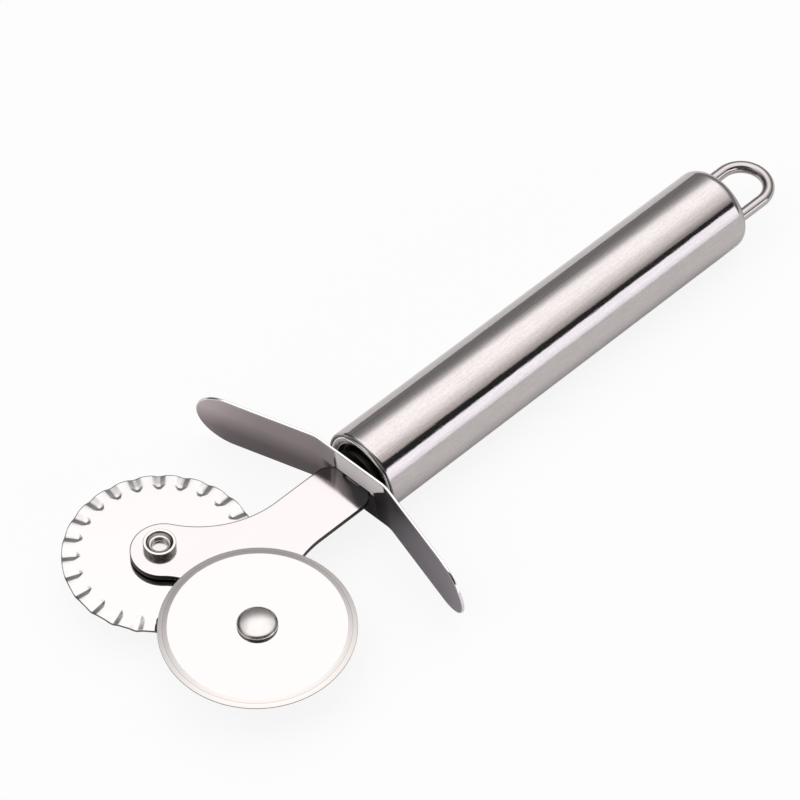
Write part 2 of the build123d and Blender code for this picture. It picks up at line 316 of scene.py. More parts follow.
# Handle: polished, with fine brush lines along x that break up the edges of reflections, and a few long scratches.
# The cap's rounded edge is left duller and darker, between two distances from its back; the darker colour is a
# painted dark reflection
handleFinish = {"colour": (0.63, 0.587, 0.58), "dark": (0.45, 0.415, 0.413), "rough": 0.08, "height": 7e-6,
                "streaks": (230, 2100, 2100), "fineLines": (1500, 5200, 5200), "lineSpan": (0.28, 0.72),
                "scratches": (13, 1500, 1500), "scratchSpan": (0.8, 0.86), "scratch": (0.36, 0.33, 0.33),
                "patches": 60.0, "edge": (0.3, 0.28, 0.28), "edgeFrom": 2.2, "edgeTo": 0.9}


def handleBuild(shade):
    finish = handleFinish
    streak = shade.span(shade.noise(finish["streaks"], 3.0), *finish["lineSpan"])
    fine = shade.span(shade.noise(finish["fineLines"]), *finish["lineSpan"])
    patch = shade.noise(finish["patches"], 3.0)
    scratch = shade.span(shade.noise(finish["scratches"], 0.0), *finish["scratchSpan"])
    brushed = shade.blend(fine * 0.5 + streak * 0.3 + patch * 0.2, finish["dark"], finish["colour"])
    worn = shade.blend(scratch * 0.7, brushed, finish["scratch"])
    # Near the cap's back: rougher, and darker by a painted dark reflection
    dullWithPaintedShade = shade.span(shade.along(0), capBack - finish["edgeFrom"], capBack - finish["edgeTo"])
    return {
        "Base Color": shade.blend(dullWithPaintedShade, worn, finish["edge"]),
        "Roughness": finish["rough"] + (fine - 0.5) * 0.06 + (patch - 0.5) * 0.05 + dullWithPaintedShade * 0.12,
        "Normal": shade.bump(streak * 0.55 + fine * 0.18, finish["height"]),
    }


# Wire: drawn and polished, with faint draw marks
wireFinish = {"colour": (0.52, 0.485, 0.477), "dark": (0.4576, 0.4268, 0.4198), "grain": 900.0,
              "rough": 0.13, "roughSpread": 0.1, "height": 0.8e-6}
# Washers: stamped, unpolished
washerFinish = {"colour": (0.5, 0.48, 0.47), "dark": (0.38, 0.36, 0.35), "grain": 1800.0,
                "rough": 0.3, "roughSpread": 0.15, "height": 5e-6}


# One grain in colour, roughness and height
def grainBuild(finish):
    def build(shade):
        grain = shade.noise(finish["grain"], 3.0)
        return shade.skin(finish, grain, grain, grain)
    return build


# Ring: spun marks round the handle's axis
ringFinish = {"colour": (0.97, 0.93, 0.915), "dark": (0.8245, 0.7905, 0.7778), "marks": 9.0,
              "rough": 0.18, "roughSpread": 0.1, "height": 1e-6}


def ringBuild(shade):
    spun = shade.lines(shade.axisDistance(axisPoint, "x") * ringFinish["marks"], 2.0)
    return shade.skin(ringFinish, spun, spun, spun)


# Cap and spacer inside the mouth: dull, brown-black and a little stained
darkFinish = {"colour": (0.09, 0.076, 0.068), "dark": (0.04, 0.034, 0.03), "stains": 350.0, "grain": 3000.0,
              "rough": 0.42, "roughSpread": 0.2, "height": 2e-6}


def darkBuild(shade):
    stain = shade.noise(darkFinish["stains"], 4.0)
    return shade.skin(darkFinish, stain, stain, shade.noise(darkFinish["grain"]), 0.6)


# Arm: mirror polish with a very slight ripple and hairlines, sheared edges left dull and darkened by painted shade,
# and a dark grey painted reflection of the guard beside it. This painted reflection reaches a few millimetres in from
# the neck's end, less far round a dip, deepens towards that end and one side, and is deep in the opposite corner too.
# At lightDeep and lightSide it has the light share
sheetFinish = {"colour": (0.635, 0.592, 0.596), "dark": (0.598, 0.551, 0.555), "rough": 0.14, "height": 4e-6,
               "ripples": 45.0, "hairs": (40, 2600, 2600), "hairTurn": (0, 0, 0.5),
               "cut": (0.08, 0.075, 0.075), "cutRough": 0.4,
               "stain": (0.075, 0.073, 0.076), "paintedReflectionLong": (5.5, 4.7), "clouds": 900.0,
               "dipSide": 2.4, "dipWide": 4.5, "dipDeep": 1.05,
               "lightDeep": 3.0, "lightSide": 1.6, "lightShare": 0.52, "deepSlope": 0.15, "sideSlope": 0.085,
               "corner": (6.6, 7.2), "cornerShare": 0.85}


def sheetBuild(neckEnd):
    def build(shade):
        finish = sheetFinish
        ripple = shade.noise(finish["ripples"], 1.0)
        hair = shade.noise(finish["hairs"], turn=finish["hairTurn"])
        cloud = (shade.noise(finish["clouds"], 4.0, 0.65) - 0.5) * 2.5
        side = shade.along(1)
        deep = neckEnd - shade.along(0) + cloud * 0.25
        middle = finish["lightShare"] + (finish["lightDeep"] - deep) * finish["deepSlope"]
        middle = middle + (finish["lightSide"] - side + cloud) * finish["sideSlope"]
        corner = shade.span(side + deep, *finish["corner"]) * finish["cornerShare"]
        dip = shade.span(abs(side - finish["dipSide"]), 0.0, finish["dipWide"], finish["dipDeep"], 0.0)
        # stain: a painted dark reflection of the guard in the mirror face, deepest at the neck's end and in the
        # corner
        stain = shade.span(shade.math("MAXIMUM", middle, corner), 0.0, 1.0)
        stain = stain * shade.span(deep + dip, *finish["paintedReflectionLong"])
        polish = shade.blend(hair, finish["dark"], finish["colour"])
        # Sheared edges: dull, and darkened by painted shade
        cut = shade.mark("cutEdge")
        rough = finish["rough"] + (hair - 0.5) * 0.03 + (ripple - 0.5) * 0.02
        return {
            "Base Color": shade.blend(cut, shade.blend(stain, polish, finish["stain"]), finish["cut"]),
            "Roughness": rough + cut * (finish["cutRough"] - finish["rough"]),
            "Normal": shade.bump(ripple * 0.8 + hair * 0.03, finish["height"]),
        }
    return build


# Guard: the same sheet, a little violet, with a plain back. Its front is painted with light and shade: a matt,
# near-white patch in the middle that is a painted reflection of the arm, painted shade darkening the wings towards
# their roots and low on the left one, painted highlights along the edges, and low in the middle, where the tangs are
# welded behind it, a brown heat tint deepened into painted shade. Tones are given at places across the tool, and the
# right wing's slant with the height
guardFinish = {"right": ((-43, 0.31), (-30, 0.202), (-20, 0.106), (-13, 0.036), (-7.4, 0.075)),
               "rightTint": (1.03, 0.94, 1.0), "middle": ((-6.9, 0.98), (4.4, 1.0)), "middleTint": (1.0, 0.94, 0.935),
               "left": ((4.9, 0.39), (12, 0.35), (25, 0.375), (43, 0.52)), "leftTint": (1.06, 0.91, 0.925),
               "reach": 43.0, "slantRun": 4.0, "slantHigh": (12.3, 16.3), "slantSide": (-6.0, -7.0),
               "lowPaintedShade": 0.5, "lowShadeHigh": (12.5, 5.5), "lowShadeSide": (5.0, 9.0),
               "heatTintAndShade": (0.032, 0.022, 0.023), "heatShadeHigh": (11.1, 10.7), "heatShadeSide": (10.0, 8.0),
               "mattPaintedReflectionRight": (-7.3, -6.9), "mattPaintedReflectionLeft": (4.8, 4.4), "mattRough": 0.6,
               "edge": (0.8, 0.775, 0.77), "back": (0.42, 0.39, 0.392), "grazing": (0.8, 0.77, 0.8, 1.0),
               "ripples": 70.0, "hairs": (2600, 60, 2600), "hairTurn": (0.4, 0, 0), "rough": 0.1, "height": 4e-6}


def guardBuild(shade):
    finish = guardFinish
    ripple = shade.noise(finish["ripples"], 1.0)
    hair = shade.noise(finish["hairs"], turn=finish["hairTurn"])
    side, high = shade.along(1), shade.along(2)
    edge, back = shade.mark("cutEdge"), shade.mark("backFace")
    slant = shade.span(high, *finish["slantHigh"], 0.0, finish["slantRun"]) * shade.span(side, *finish["slantSide"])
    across = side + slant + (hair - 0.5) * 0.6
    # Painted shade in the wings' tones, darker towards their roots; the middle's near-white tones are a painted
    # reflection
    stops = [(y, tuple(tone * c for c in finish[part + "Tint"]))
             for part in ("right", "middle", "left") for y, tone in finish[part]]
    face = shade.ramp(across, -finish["reach"], finish["reach"], stops)
    # Painted shade low on the left wing
    low = shade.span(high, *finish["lowShadeHigh"]) * shade.span(side, *finish["lowShadeSide"])
    face = shade.blend(low * finish["lowPaintedShade"], face, (0.0, 0.0, 0.0))
    # Brown heat tint deepened into painted shade, low in the middle where the arm meets the guard
    heatTintAndShade = shade.span(high, *finish["heatShadeHigh"]) * shade.span(abs(side), *finish["heatShadeSide"])
    face = shade.blend(back, shade.blend(heatTintAndShade, face, finish["heatTintAndShade"]), finish["back"])
    # Matt, near-white patch in the middle: a painted reflection of the arm
    mattPaintedReflection = shade.span(across, *finish["mattPaintedReflectionRight"]) * shade.span(across, *finish["mattPaintedReflectionLeft"])
    mattPaintedReflection = mattPaintedReflection * (1 - edge) * (1 - back)
    rough = finish["rough"] + (hair - 0.5) * 0.05 + (ripple - 0.5) * 0.03
    return {
        # Painted highlights along the edges
        "Base Color": shade.blend(edge, face, finish["edge"]),
        "Metallic": 1 - mattPaintedReflection,
        "Specular Tint": finish["grazing"],
        "Roughness": rough + mattPaintedReflection * (finish["mattRough"] - finish["rough"]),
        "Normal": shade.bump(ripple * 0.8 + hair * 0.05, finish["height"]),
    }


# Wheels: lapped faces with faint rings round the pivot, on the plain one a ground band with a line where its two
# steps meet, and a dull rim darkened by painted shade. Insets are from the wheel's outside
wheelFinish = {"colour": (0.605, 0.585, 0.58), "dark": (0.59, 0.568, 0.563), "rough": 0.06, "height": 2e-6,
               "rings": 3.8, "ripples": 40.0,
               "ground": (0.86, 0.815, 0.795), "groundDark": (0.72, 0.68, 0.668), "groundRough": 0.42,
               "groundInset": (2.32, 2.25), "line": (0.62, 0.595, 0.595), "lineInset": 1.15, "lineHalf": (0.16, 0.05),
               "rim": (0.16, 0.15, 0.15), "rimRough": 0.4, "plainRim": (0.07, 0.02), "flutedRim": (0.14, 0.04)}


def wheelBuild(pivot, outer, rimInset, isGround):
    def build(shade):
        finish = wheelFinish
        radius = shade.axisDistance(pivot, "z")
        inset = outer - radius
        rings = shade.lines(radius * finish["rings"], 3.0)
        # Dull rim, darkened by painted shade
        rim = shade.span(inset, *rimInset)
        face = shade.blend(rings, finish["dark"], finish["colour"])
        ground = 0.0
        if isGround:
            ground = shade.span(inset, *finish["groundInset"])
            band = shade.blend(shade.span(rings, 0.3, 0.7), finish["groundDark"], finish["ground"])
            line = shade.span(abs(inset - finish["lineInset"]), *finish["lineHalf"])
            face = shade.blend(ground, face, shade.blend(line, band, finish["line"]))
        rough = finish["rough"] + (rings - 0.5) * 0.03 + ground * (finish["groundRough"] - finish["rough"])
        height = shade.noise(finish["ripples"], 1.0) + rings * (0.02 + ground * 1.5)
        return {
            "Base Color": shade.blend(rim, face, finish["rim"]),
            "Roughness": rough * (1 - rim) + rim * finish["rimRough"],
            "Normal": shade.bump(height, finish["height"]),
        }
    return build


# Collars: bright rim, dull and spotted outside, and painted shade, a dark ring, inside round the rivet's end. Spans
# are radii
collarFinish = {"colour": (0.72, 0.69, 0.68), "dark": (0.6, 0.57, 0.56), "grain": 1500.0, "rough": 0.09,
                "height": 4e-6, "wall": (0.42, 0.4, 0.385), "wallDark": (0.1, 0.092, 0.088), "wallRough": 0.34,
                "wallSpan": (3.82, 3.88), "spots": 1100.0, "spotSpan": (0.36, 0.68),
                "shadedBowl": (0.22, 0.19, 0.175), "bowlInner": (2.5, 2.6), "bowlOuter": (3.16, 3.12)}


def collarBuild(pivot):
    def build(shade):
        finish = collarFinish
        grain = shade.noise(finish["grain"], 3.0)
        radius = shade.axisDistance(pivot, "z")
        wall = shade.span(radius, *finish["wallSpan"])
        # Painted shade in the hollow round the rivet's end
        shadedBowl = shade.span(radius, *finish["bowlInner"]) * shade.span(radius, *finish["bowlOuter"])
        metal = shade.blend(shadedBowl, shade.blend(grain, finish["dark"], finish["colour"]), finish["shadedBowl"])
        spots = shade.span(shade.noise(finish["spots"], 4.0, 0.7), *finish["spotSpan"])
        return {
            "Base Color": shade.blend(wall, metal, shade.blend(spots, finish["wallDark"], finish["wall"])),
            "Roughness": finish["rough"] + (grain - 0.5) * 0.06 + wall * (finish["wallRough"] - finish["rough"]),
            "Normal": shade.bump(grain * (0.3 + wall * 3.0), finish["height"]),
        }
    return build


# Rivets: turned, then tumbled to a satin skin with small pits
rivetFinish = {"colour": (0.7, 0.665, 0.65), "dark": (0.5, 0.47, 0.46), "grain": 2600.0, "clouds": 500.0,
               "rough": 0.22, "roughSpread": 0.16, "height": 9e-6}


def rivetBuild(shade):
    grain = shade.noise(rivetFinish["grain"], 4.0, 0.6)
    cloud = shade.noise(rivetFinish["clouds"])
    return shade.skin(rivetFinish, grain * 0.6 + cloud * 0.5, grain, grain)


# Welds: rippled beads with a heat tint from straw (dark) to blue (colour)
weldFinish = {"colour": (0.16, 0.17, 0.24), "dark": (0.38, 0.3, 0.2), "tints": 420.0, "tintSpan": (0.35, 0.65),
              "beads": 1500.0, "rough": 0.38, "roughSpread": 0.2, "height": 4e-5}


def weldBuild(shade):
    tint = shade.span(shade.noise(weldFinish["tints"]), *weldFinish["tintSpan"])
    bead = shade.noise(weldFinish["beads"])
    return shade.skin(weldFinish, tint, bead, bead)


handleSteel = steel("handleSteel", handleBuild)
wireSteel = steel("wireSteel", grainBuild(wireFinish))
ringSteel = steel("ringSteel", ringBuild)
darkSteel = steel("darkSteel", darkBuild)
plainSteel = steel("plainWheelSteel", wheelBuild(plainPivot, plainR, wheelFinish["plainRim"], True))
flutedSteel = steel("flutedWheelSteel", wheelBuild(flutedPivot, flutedR, wheelFinish["flutedRim"], False))
guardSteel = steel("guardSteel", guardBuild)
collarSteels = {"plain": steel("plainCollarSteel", collarBuild(plainPivot)),
                "fluted": steel("flutedCollarSteel", collarBuild(flutedPivot))}
rivetSteel = steel("rivetSteel", rivetBuild)
washerSteel = steel("washerSteel", grainBuild(washerFinish))
weldSteel = steel("weldSteel", weldBuild)
print("materials made")

# Handle tube: outer wall, mouth rolled in along a quarter ellipse, inner wall with its edge broken
tubeSizes = {"wall": 0.8, "rollLong": 0.75, "rollDeep": 0.45, "support": 0.03, "innerEdge": 0.04, "count": 256}
tubeInner = tubeR - tubeSizes["wall"]
mouthRun, mouthDrop = rollOver(tubeSizes["rollLong"], tubeSizes["rollDeep"])
tubeProfile = np.concatenate([
    [(tubeHigh[0], tubeR), (mouthX + tubeSizes["rollLong"] + tubeSizes["support"], tubeR)],
    np.stack([mouthX + mouthRun, tubeR - mouthDrop], 1),
    [(mouthX, tubeInner + tubeSizes["innerEdge"]), (mouthX + tubeSizes["innerEdge"], tubeInner),
     (tubeHigh[0], tubeInner)]])
addPiece("handleTube", *turned(tubeProfile, axisPoint, axisX, tubeSizes["count"]),
         handleSteel, "tool", "handle_steel", ["handle_tube"])

# Rear cap: a cup whose rim is flush with the tube, rounded over at the back
capSizes = {"edgeRound": 3.0, "wall": 1.0, "register": 4.0, "fit": 0.03, "smallRound": 0.15}
registerR = tubeInner - capSizes["fit"]
registerIn = registerR - capSizes["wall"]
registerX = tubeHigh[0] - capSizes["register"]
capProfile = roundedLine([
    (capBack, 0, 0), (capBack, tubeR, capSizes["edgeRound"]), (tubeHigh[0], tubeR, 0), (tubeHigh[0], registerR, 0),
    (registerX, registerR, capSizes["smallRound"]), (registerX, registerIn, capSizes["smallRound"]),
    (capBack - capSizes["wall"], registerIn, capSizes["smallRound"]), (capBack - capSizes["wall"], 0, 0),
], closed=False, step=5)
addPiece("rearCap", *turned(capProfile, axisPoint, axisX, tubeSizes["count"], closed=False),
         handleSteel, "tool", "handle_steel", ["rear_cap"])

# Hanging loop: a circle carried along leg, half round and leg.
# Point = path + wire radius * (cos t * outward + sin t * up)
loopSizes = {"count": 64, "arcSteps": 96, "legSteps": 6}
loopLow, loopHigh = nodeBox("hanging_loop")
wireR = (loopHigh[2] - loopLow[2]) / 2
loopHalf = loopHigh[1] - wireR
turnX = loopHigh[0] - wireR - loopHalf
legX = np.linspace(loopLow[0], turnX, loopSizes["legSteps"], endpoint=False)
bow = np.linspace(-np.pi / 2, np.pi / 2, loopSizes["arcSteps"])
onLeg = np.ones(len(legX))
outX = np.concatenate([0 * onLeg, np.cos(bow), 0 * onLeg])[:, None]
outY = np.concatenate([-onLeg, np.sin(bow), onLeg])[:, None]
pathX = np.concatenate([legX, turnX + loopHalf * np.cos(bow), legX[::-1]])[:, None]
pathY = loopHalf * outY
aroundWire = fullTurn(loopSizes["count"])
points = np.stack([
    pathX + wireR * outX * np.cos(aroundWire), pathY + wireR * outY * np.cos(aroundWire),
    axisZ + wireR * np.sin(aroundWire)[None] * np.ones((len(pathX), 1))], -1).reshape(-1, 3)
firstRing = np.arange(loopSizes["count"])
lastRing = firstRing + (len(pathX) - 1) * loopSizes["count"]
faces = bandFaces(len(pathX), loopSizes["count"], False).tolist() + [firstRing[::-1].tolist(), lastRing.tolist()]
addPiece("hangingLoop", points, faces, wireSteel, "tool", "wire_steel", ["hanging_loop"])

# Front ring: a bead of two quarter ellipses, a groove inside it, a half-round lip, and the tail in the tube with the
# seat of the front cap and a stop behind it
ringSizes = {"crest": 0.95, "outerRise": 0.95, "innerRise": 0.72, "innerWide": 0.62, "lip": 0.24, "lipBack": 0.12,
             "lipInset": 2.1, "lipSteps": 20, "fit": 0.03, "stopFrom": 0.05, "stopTo": 0.7, "stopDeep": 0.65,
             "small": 0.08, "count": 256}
ringLow, ringHigh = nodeBox("front_ring")
ringR = (ringHigh[1] - ringLow[1]) / 2
discLow, discHigh = nodeBox("front_cap")
discR = (discHigh[1] - discLow[1]) / 2 + ringSizes["fit"]
lipR, ringRound = ringR - ringSizes["lipInset"], ringSizes["small"]
outerRun, outerDrop = rollOver(ringSizes["outerRise"], ringSizes["crest"])
innerInset, innerRun = rollOver(ringSizes["innerWide"], ringSizes["innerRise"])
grooveR = ringR - ringSizes["crest"] - ringSizes["innerWide"]
outerBead = np.stack([ringLow[0] + outerRun, ringR - outerDrop], 1)
innerBead = np.stack([ringLow[0] + innerRun, grooveR + innerInset], 1)[1:]
halfTurn = np.linspace(0, np.pi, ringSizes["lipSteps"])
lip = np.stack([mouthX + ringSizes["lipBack"] + ringSizes["lip"] * (1 - np.sin(halfTurn)),
                lipR + ringSizes["lip"] * (1 + np.cos(halfTurn))], 1)
stopFrom, stopTo = discHigh[0] + ringSizes["stopFrom"], discHigh[0] + ringSizes["stopTo"]
stopR = discR - ringSizes["stopDeep"]
ringBack = roundedLine([
    (discLow[0], lipR, 0), (discLow[0], discR, 0), (stopFrom, discR, 0), (stopFrom, stopR, ringRound),
    (stopTo, stopR, ringRound), (stopTo, discR, 0), (ringHigh[0], discR, ringRound), (ringHigh[0], ringR, ringRound),
], support=0.005)
ringProfile = np.concatenate([outerBead, innerBead, lip, ringBack])
addPiece("frontRing", *turned(ringProfile, axisPoint, axisX, ringSizes["count"]),
         ringSteel, "tool", "ring_steel", ["front_ring"])

# Finger guard: a rounded sheet edge carried round a stadium outline, then bent along the plan line
guardSizes = {"thick": 0.7, "width": 18.0, "span": 86.52, "flat": 22.3, "sweep": 15.5, "bend": 10.0, "lean": 7.1,
              "turn": 2.9, "gap": 2.5, "edge": 0.22, "support": 0.03, "slotWide": 11.7, "slotHigh": 2.0,
              "straightSteps": 45, "bendSteps": 25, "bendReach": 2.6, "tipSteps": 40, "edgeSteps": 6,
              "faceShares": (0.45, 0.7, 0.9)}
armLow, armHigh = nodeBox("arm")
armZ = (armLow[2] + armHigh[2]) / 2
lean, turn, sweep = np.radians([guardSizes[key] for key in ("lean", "turn", "sweep")])
guardR = guardSizes["width"] / 2
halfThick = guardSizes["thick"] / 2
wingRise = (guardSizes["span"] - guardSizes["flat"]) / 2 * np.tan(sweep)
wingFoot = wingRise - guardR * np.tan(sweep) + guardSizes["thick"]
guardOrigin = np.array((mouthX - guardSizes["gap"], 0, guardR * np.cos(lean) + wingFoot * np.sin(lean)))
guardAlong = np.array((-np.sin(turn), np.cos(turn), 0))
guardUp = np.array((-np.sin(lean) * np.cos(turn), -np.sin(lean) * np.sin(turn), np.cos(lean)))
guardFront = np.cross(guardUp, guardAlong)


# Plan line of the guard: flat middle, arcs of the bend radius, straight wings. Gives offset and slope at a place s
def planLine(s):
    bend = guardSizes["bend"]
    beyond = np.abs(s) - guardSizes["flat"] / 2 + bend * np.tan(sweep / 2)
    into = np.clip(beyond, 0, bend * np.sin(sweep))
    arc = bend - np.sqrt(bend ** 2 - into ** 2)
    straight = np.maximum(beyond - bend * np.sin(sweep), 0) * np.tan(sweep)
    return arc + straight, np.arcsin(into / bend) * np.sign(s)


# Rows of the guard run from a line along the front's middle, at the height of the slot's lower edge, over the rounded
# edge to the same line on the back: point = line + share * (edge row - line) on the faces, and outline - inset *
# outward on the edge. Columns go round the stadium
straightEnd = guardSizes["span"] / 2 - guardR
bendPlaces = np.linspace(-1, 1, guardSizes["bendSteps"]) * guardSizes["bendReach"]
sPlaces = np.unique(np.concatenate([
    np.linspace(-straightEnd, straightEnd, guardSizes["straightSteps"]), bendPlaces - guardSizes["flat"] / 2,
    bendPlaces + guardSizes["flat"] / 2, np.array((-0.5, 0.5)) * guardSizes["slotWide"]]))
tipTurn = np.linspace(-np.pi / 2, np.pi / 2, guardSizes["tipSteps"])[1:-1]
onSide, onTip = np.ones(len(sPlaces)), np.ones(len(tipTurn))
middleS = np.concatenate([sPlaces, straightEnd * onTip, sPlaces[::-1], -straightEnd * onTip])
outwardS = np.concatenate([0 * onSide, np.cos(tipTurn), 0 * onSide, -np.cos(tipTurn)])
outwardV = np.concatenate([-onSide, np.sin(tipTurn), onSide, -np.sin(tipTurn)])
flatInset = guardSizes["edge"] + guardSizes["support"]
edgeInset, edgeDrop = rollOver(guardSizes["edge"], guardSizes["edge"], guardSizes["edgeSteps"])
edgeHeight = halfThick - edgeDrop
rimInset = np.concatenate([[flatInset], edgeInset, edgeInset[::-1], [flatInset]])
rimHeight = np.concatenate([[halfThick], edgeHeight, -edgeHeight[::-1], [-halfThick]])
rimS = middleS + outwardS * (guardR - rimInset)[:, None]
rimV = outwardV * (guardR - rimInset)[:, None]
slotLow = (armZ - guardOrigin[2]) / np.cos(lean) - guardSizes["slotHigh"] / 2
slotShare = guardSizes["slotHigh"] / (guardR - flatInset - slotLow)
faceShare = np.array([0, slotShare, *guardSizes["faceShares"]])[:, None]
onFace = np.ones(len(faceShare))
faceS = middleS + (rimS[0] - middleS) * faceShare
faceV = slotLow + (rimV[0] - slotLow) * faceShare
gridS = np.concatenate([faceS, rimS, faceS[::-1]])
gridV = np.concatenate([faceV, rimV, faceV[::-1]])
heights = np.concatenate([halfThick * onFace, rimHeight, -halfThick * onFace])[:, None]
planRise, planSlope = planLine(gridS)
bentS, bentRise = gridS - np.sin(planSlope) * heights, planRise + np.cos(planSlope) * heights
points = guardOrigin + bentS[..., None] * guardAlong + gridV[..., None] * guardUp + bentRise[..., None] * guardFront

# The slot: quads between the first two rows of each face are left out over its width, and walls join the faces there
rows, columns = gridS.shape
quads = bandFaces(rows, columns, False)
quadRow, quadColumn = quads[:, 0] // columns, quads[:, 0] % columns
topStart = len(sPlaces) + len(tipTurn)
halfSlot = guardSizes["slotWide"] / 2 + 1e-6
inSlot = (quadColumn >= topStart) & (quadColumn < topStart + len(sPlaces) - 1)
inSlot &= (middleS[quadColumn] <= halfSlot) & (middleS[(quadColumn + 1) % columns] >= -halfSlot)
inSlot &= (quadRow == 0) | (quadRow == rows - 2)
slotColumns = np.unique(quadColumn[inSlot])
slotColumns = np.append(slotColumns, slotColumns[-1] + 1)
frontLow, frontHigh = slotColumns, columns + slotColumns
backLow, backHigh = (rows - 1) * columns + slotColumns, (rows - 2) * columns + slotColumns
slotWalls = np.concatenate([
    np.stack([frontLow[1:], frontLow[:-1], backLow[:-1], backLow[1:]], 1),
    np.stack([frontHigh[:-1], frontHigh[1:], backHigh[1:], backHigh[:-1]], 1),
    [[frontLow[0], frontHigh[0], backHigh[0], backLow[0]], [frontHigh[-1], frontLow[-1], backLow[-1], backHigh[-1]]]])
onRim = np.concatenate([0 * onFace, [0], np.ones(len(rimHeight) - 2), [0], 0 * onFace])
onBack = (heights[:, 0] < 0).astype(float)
marks = np.repeat(np.stack([onRim, onBack], 1), columns, axis=0)
points, faces, marks = welded(points.reshape(-1, 3), np.concatenate([quads[~inSlot], slotWalls]), marks)
addPiece("fingerGuard", points, faces, guardSteel, "tool", "sheet_steel", ["finger_guard"],
         marks={"cutEdge": marks[:, 0], "backFace": marks[:, 1]})

# Arm: a rounded edge carried round its outline, with flat faces between the outline and the two pivot holes.
# The top edge is rolled over more than the lower one, and counts as sheared where it is steep (cutTurn, degrees),
# which darkens it with painted shade
armSizes = {"neck": 15.2, "neckRound": 3.5, "flare": 26.0, "ear": 7.8, "earInset": 1.15, "notch": 14.5, "relief": 3.4,
            "reliefReach": 1.35, "tang": 2.2, "rollWide": 0.42, "rollDeep": 0.16, "edge": 0.13, "support": 0.02,
            "hole": 2.53, "seat": 0.05, "seatReach": 0.5, "cutTurn": (56, 76)}
armSteps = {"notch": 40, "ear": 120, "flare": 60, "neck": 24, "relief": 40, "edge": 8, "hole": 64}
earX, earY = plainPivot[0], flutedPivot[1] - armSizes["earInset"]
halfNeck = armSizes["neck"] / 2
flareRise = halfNeck + armSizes["flare"] - earY
flareRun = np.sqrt((armSizes["flare"] + armSizes["ear"]) ** 2 - flareRise ** 2)
flareTurn = np.arctan2(flareRise, flareRun)
notchX = earX - armSizes["notch"]
notchTurn = np.arctan2(earY, armSizes["notch"])
notchR = np.hypot(armSizes["notch"], earY) - armSizes["ear"]
seatPoint = guardOrigin + guardFront * (halfThick + armSizes["seat"])
neckEnd = seatPoint[0] + (seatPoint[2] - armZ) * guardFront[2] / guardFront[0]
neckStart = neckEnd - armSizes["neckRound"]
reliefX = neckEnd + armSizes["relief"] - armSizes["reliefReach"]
tangOut = armSizes["relief"] + armSizes["tang"]
tangTurn = np.arcsin((tangOut - halfNeck + armSizes["neckRound"]) / armSizes["neckRound"])


# Arc round a middle between two angles in radians
def arcPoints(middle, radius, start, end, steps):
    t = np.linspace(start, end, steps)
    return np.stack([middle[0] + radius * np.cos(t), middle[1] + radius * np.sin(t)], 1)


flareMiddle = (earX + flareRun, halfNeck + armSizes["flare"])
neckMiddle = (neckStart, halfNeck - armSizes["neckRound"])
upper = np.concatenate([
    arcPoints((notchX, 0), notchR, 0, notchTurn, armSteps["notch"])[1:],
    arcPoints((earX, earY), armSizes["ear"], np.pi + notchTurn, flareTurn, armSteps["ear"])[1:],
    arcPoints(flareMiddle, armSizes["flare"], np.pi + flareTurn, 1.5 * np.pi, armSteps["flare"])[1:],
    arcPoints(neckMiddle, armSizes["neckRound"], np.pi / 2, tangTurn, armSteps["neck"]),
    [(armHigh[0], tangOut), (armHigh[0], armSizes["relief"])],
    arcPoints((reliefX, 0), armSizes["relief"], np.pi / 2, np.pi, armSteps["relief"])[:-1]])
outline = np.concatenate([[(notchX + notchR, 0)], upper, [(reliefX - armSizes["relief"], 0)], upper[::-1] * (1, -1)])
ahead = np.roll(outline, -1, 0) - outline
ahead /= np.linalg.norm(ahead, axis=1)[:, None]
sideways = np.stack([ahead[:, 1], -ahead[:, 0]], 1)
sidewaysBehind = np.roll(sideways, 1, 0)
inward = (sideways + sidewaysBehind) / (1 + np.einsum("ij,ij->i", sideways, sidewaysBehind))[:, None]
topInset, topDrop = rollOver(armSizes["rollWide"], armSizes["rollDeep"], armSteps["edge"])
lowInset, lowRise = rollOver(armSizes["edge"], armSizes["edge"], armSteps["edge"])
armInset = np.concatenate([
    [armSizes["rollWide"] + armSizes["support"]], topInset, lowInset[::-1], [armSizes["edge"] + armSizes["support"]]])
armHeight = np.concatenate([[armHigh[2]], armHigh[2] - topDrop, armLow[2] + lowRise[::-1], [armLow[2]]])
plan = outline[None] + inward[None] * armInset[:, None, None]
points = np.concatenate([plan, np.broadcast_to(armHeight[:, None, None], (*plan.shape[:2], 1))], -1)

# The neck's end leans and turns with the guard's front, which it is set against
seatSlope = guardFront / guardFront[0]
seatLift = (points[..., 2] - armZ) * seatSlope[2] + points[..., 1] * seatSlope[1]
nearEnd = np.clip((points[..., 0] - neckStart) / armSizes["neckRound"], 0, 1)
points[..., 0] -= seatLift * nearEnd * (points[..., 0] < neckEnd + armSizes["seatReach"])
armRows, armColumns = points.shape[:2]
points = points.reshape(-1, 3)
faces = bandFaces(armRows, armColumns, False).tolist()
holeSteps, holeStart = armSteps["hole"], len(points)
for y in (-flutedPivot[1], flutedPivot[1]):
    hole = arcPoints((earX, y), armSizes["hole"], 0, 2 * np.pi, holeSteps + 1)[:-1]
    faces += (len(points) + bandFaces(2, holeSteps, False)[:, ::-1]).tolist()
    rims = [np.column_stack([hole, np.full(holeSteps, z)]) for z in (armHigh[2], armLow[2])]
    points = np.concatenate([points, *rims])
armData = bpy.data.meshes.new("arm")
armData.from_pydata((points * mm).tolist(), [], faces)
armMesh = bmesh.new()
armMesh.from_mesh(armData)
armMesh.verts.ensure_lookup_table()
